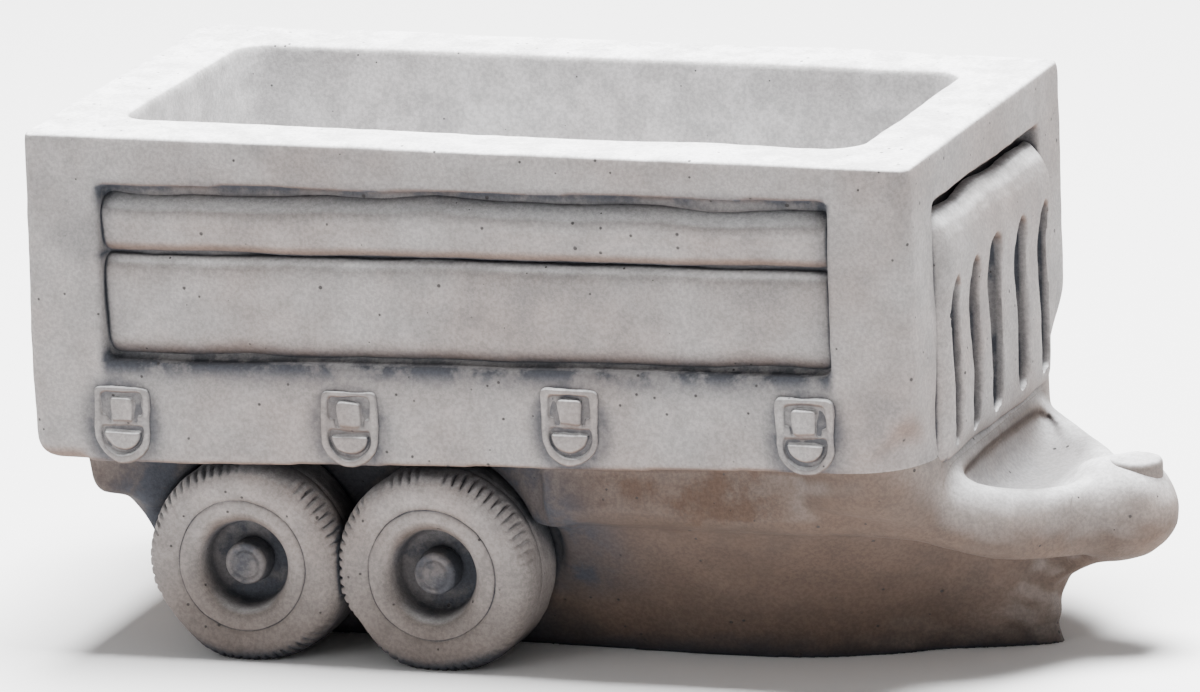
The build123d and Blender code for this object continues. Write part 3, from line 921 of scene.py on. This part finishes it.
def earthMask(tree, settings, forward, height, facing, clouds):  # brown towards the ground: earth stain and painted shade; painted shade on faces turned down and under the tub
    low = mapRange(tree, height, settings["earthAndShadeTop"], settings["earthAndShadeFoot"])
    low = multiply(tree, low, settings["earthAndShadeAmount"])
    down = mapRange(tree, facing, *settings["underside"], 0.0, 0.85)
    underTub = multiply(tree, mapRange(tree, forward, 0.255, 0.165), mapRange(tree, height, 0.082, 0.098))
    underTub = multiply(tree, underTub, mapRange(tree, clouds, 0.0, 0.8, 0.75, 1.0))
    underTub = multiply(tree, underTub, settings["underTub"])
    return maths(tree, "MAXIMUM", maths(tree, "MAXIMUM", low, down), underTub)


def washedMask(tree, settings, forward, across, height, facing, clouds, laid):  # pale on faces turned up: rain-washed concrete and painted top light; paler inside the trough
    upward = mapRange(tree, facing, settings["upwardStart"], 0.95)
    across = mapRange(tree, maths(tree, "ABSOLUTE", across), 0.125, 0.115)
    along = mapRange(tree, maths(tree, "ABSOLUTE", forward), 0.250, 0.240)
    inTrough = multiply(tree, multiply(tree, across, along), mapRange(tree, height, 0.142, 0.148))
    upward = maths(tree, "MAXIMUM", upward, multiply(tree, inTrough, settings["sheltered"]))
    upward = multiply(tree, upward, maths(tree, "SUBTRACT", 1.0, multiply(tree, laid, 0.8)))
    return multiply(tree, upward, mapRange(tree, clouds, 0.0, 1.0, 0.82, 1.0))


def darkMask(tree, settings, vector, washed, clouds, laid):  # dirt and painted shade in hollows and where it was laid
    near = useGroup(tree, hollows, vector, **{"Reach": 0.005, "Break Up": 0.22})["Hollow"]
    wide = useGroup(tree, hollows, vector, **{"Reach": 0.036, "Break Up": 0.3})["Hollow"]
    wide = multiply(tree, mapRange(tree, wide, 0.34, 0.8), 0.85)
    dark = maths(tree, "MAXIMUM", mapRange(tree, near, 0.16, 0.6), wide)
    kept = maths(tree, "SUBTRACT", settings["hollowGain"], multiply(tree, washed, 0.35))
    grime = multiply(tree, laid, mapRange(tree, clouds, 0.1, 0.8, 0.5, 1.0))
    return maths(tree, "MINIMUM", maths(tree, "MAXIMUM", multiply(tree, dark, kept), grime), 0.96)


def makeConcrete(name, settings):
    material = bpy.data.materials.new(name)
    material.use_nodes = True
    tree = material.node_tree
    shader = tree.nodes["Principled BSDF"]
    vector = addNode(tree, "ShaderNodeTexCoord").outputs["Object"]
    normal = addNode(tree, "ShaderNodeNewGeometry").outputs["Normal"]
    facing = addNode(tree, "ShaderNodeSeparateXYZ", {0: normal}).outputs["Z"]
    place = addNode(tree, "ShaderNodeSeparateXYZ", {0: vector}).outputs
    forward = maths(tree, "SUBTRACT", place["X"], tubMiddle)
    grime = addNode(tree, "ShaderNodeAttribute", attribute_name="grime", attribute_type="GEOMETRY")
    laid = grime.outputs["Fac"]
    patches = useGroup(tree, mottling, vector)
    clouds = patches["Clouds"]
    shadedHole = useGroup(tree, airHoles, vector, Scale=105.0, Radius=0.11, Share=0.5)["Hole"]
    colour = mixColour(tree, multiply(tree, patches["Patches"], 0.7), settings["body"], settings["warm"])
    colour = mixColour(tree, multiply(tree, patches["Stains"], 0.45), colour, settings["stain"])
    # brown and darker low down, on faces turned down and under the tub: earth stain and painted shade
    earthyAndShaded = earthMask(tree, settings, forward, place["Z"], facing, clouds)
    colour = mixColour(tree, earthyAndShaded, colour, settings["earth"])
    # pale tops: rain-washed concrete and painted top light
    washed = washedMask(tree, settings, forward, place["Y"], place["Z"], facing, clouds, laid)
    colour = mixColour(tree, washed, colour, settings["washed"])
    # dark in hollows and where the grime was laid: dirt and painted shade
    dark = darkMask(tree, settings, vector, washed, clouds, laid)
    colour = mixColour(tree, dark, colour, settings["patinaAndShade"])
    cloudy = mapRange(tree, clouds, 0.0, 1.0, 0.90, 1.10)
    level = multiply(tree, cloudy, mapRange(tree, patches["Speckle"], 0.0, 1.0, 0.86, 1.12))
    grey = addNode(tree, "ShaderNodeCombineColor", {0: level, 1: level, 2: level}).outputs[0]
    colour = mixColour(tree, 1.0, colour, grey, "MULTIPLY")
    # air holes painted near black: painted shade inside the holes
    colour = mixColour(tree, multiply(tree, shadedHole, 0.85), colour, settings["shadedHole"])
    tree.links.new(colour, shader.inputs["Base Color"])
    middle, spread = settings["roughness"], settings["roughnessSpread"]
    rough = mapRange(tree, clouds, 0.0, 1.0, middle - spread, middle + spread)
    tree.links.new(rough, shader.inputs["Roughness"])
    shader.inputs["Specular IOR Level"].default_value = settings["specular"]
    height = maths(tree, "SUBTRACT", useGroup(tree, sandGrain, vector)["Height"], multiply(tree, shadedHole, 1.2))
    surface = {"Height": height, "Strength": settings["bump"], "Distance": settings["bumpDepth"]}
    tree.links.new(addNode(tree, "ShaderNodeBump", surface).outputs[0], shader.inputs["Normal"])
    return material


troughConcrete = makeConcrete("troughConcrete", troughSettings)
baseConcrete = makeConcrete("baseConcrete", baseSettings)
wheelConcrete = makeConcrete("wheelConcrete", shadedWheelSettings)
baseNames = ("plinth", "deck", "tail_", "skirt", "drawbar", "hitch")
wheelNames = ("tyre", "wheel_rim", "hub_cap")
for piece in concretePieces:
    piece.data.materials.clear()
    if piece.name.startswith(baseNames):
        piece.data.materials.append(baseConcrete)
    elif piece.name.startswith(wheelNames):
        piece.data.materials.append(wheelConcrete)
    else:
        piece.data.materials.append(troughConcrete)

steelSettings = {
    "scale": (0.16, 0.15, 0.15, 1), "rust": (0.24, 0.15, 0.10, 1), "metallic": 0.9, "smoothest": 0.4,
    "roughest": 0.65, "bump": 0.4, "bumpDepth": 0.0005,
}


def makeSteel():  # bar cast into the concrete, with its mill scale
    s = steelSettings
    material = bpy.data.materials.new("castInSteel")
    material.use_nodes = True
    tree = material.node_tree
    shader = tree.nodes["Principled BSDF"]
    vector = addNode(tree, "ShaderNodeTexCoord").outputs["Object"]
    clouds = useGroup(tree, mottling, vector)["Clouds"]
    tree.links.new(mixColour(tree, clouds, s["scale"], s["rust"]), shader.inputs["Base Color"])
    rough = mapRange(tree, clouds, 0.0, 1.0, s["smoothest"], s["roughest"])
    tree.links.new(rough, shader.inputs["Roughness"])
    shader.inputs["Metallic"].default_value = s["metallic"]
    height = useGroup(tree, sandGrain, vector)["Height"]
    surface = {"Height": height, "Strength": s["bump"], "Distance": s["bumpDepth"]}
    tree.links.new(addNode(tree, "ShaderNodeBump", surface).outputs[0], shader.inputs["Normal"])
    return material


castInSteel = makeSteel()
for name in ("rim_bar", "drawbar_bar"):
    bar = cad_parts[name]
    bar.data.materials.clear()
    bar.data.materials.append(castInSteel)
print("materials mixed")

# Stage: floor, light and camera
stageSettings = {
    "floor": (0.9, 0.9, 0.9, 1), "floorRoughness": 0.9, "size": 24.0, "drop": 0.0002,
    "surround": (1, 1, 1, 1), "surroundStrength": 0.38, "aim": (0, 0, 0.15),
}
lightSettings = {
    "overhead": {"place": (0.0, 0.6, 4.4), "size": 2.4, "power": 1350.0},
    "frontLeft": {"place": (-1.3, -2.4, 1.3), "size": 1.4, "power": 11.0},
}


def layFloor():
    half = stageSettings["size"] / 2
    mesh = bpy.data.meshes.new("floor")
    corners = [(-half, -half, 0), (half, -half, 0), (half, half, 0), (-half, half, 0)]
    mesh.from_pydata(corners, [], [[0, 1, 2, 3]])
    paint = bpy.data.materials.new("paleFloor")
    paint.use_nodes = True
    shader = paint.node_tree.nodes["Principled BSDF"]
    shader.inputs["Base Color"].default_value = stageSettings["floor"]
    shader.inputs["Roughness"].default_value = stageSettings["floorRoughness"]
    mesh.materials.append(paint)
    floor = newObject("floor", mesh)
    floor.location.z = -stageSettings["drop"]


def hangLights():
    for name, values in lightSettings.items():
        lamp = bpy.data.lights.new(name, "AREA")
        lamp.energy = values["power"]
        lamp.size = values["size"]
        holder = newObject(name, lamp)
        holder.location = values["place"]
        aim = Vector(stageSettings["aim"]) - Vector(values["place"])
        holder.rotation_mode = "QUATERNION"
        holder.rotation_quaternion = aim.to_track_quat("-Z", "Y")
    world = bpy.data.worlds.new("studio")
    world.use_nodes = True
    surround = world.node_tree.nodes["Background"]
    surround.inputs["Color"].default_value = stageSettings["surround"]
    surround.inputs["Strength"].default_value = stageSettings["surroundStrength"]
    bpy.context.scene.world = world


cameraSettings = {
    "azimuth": 19.385, "elevation": 13.613, "distance": 7.2266, "lens": 357.3, "sensor": 36.0, "roll": 2.0,
    "targetHeight": 0.2424, "right": 0.0287, "up": -0.0731, "farthest": 100.0,
}


def setCamera():
    s = cameraSettings
    azimuth, elevation = math.radians(s["azimuth"]), math.radians(s["elevation"])
    level = math.cos(elevation)
    back = Vector((math.sin(azimuth) * level, -math.cos(azimuth) * level, math.sin(elevation)))
    sideways = Vector((math.cos(azimuth), math.sin(azimuth), 0))
    upwards = back.cross(sideways)
    offset = sideways * s["right"] + upwards * s["up"]
    place = Vector((tubMiddle, 0, s["targetHeight"])) + offset + back * s["distance"]
    lens = bpy.data.cameras.new("camera")
    lens.lens = s["lens"]
    lens.sensor_width = s["sensor"]
    lens.clip_end = s["farthest"]
    camera = newObject("camera", lens)
    aimed = Matrix((sideways, upwards, back)).transposed()
    tilt = Matrix.Rotation(math.radians(s["roll"]), 3, "Z")
    camera.matrix_world = Matrix.Translation(place) @ (aimed @ tilt.inverted()).to_4x4()
    bpy.context.scene.camera = camera
    print("camera set")


layFloor()
hangLights()
setCamera()
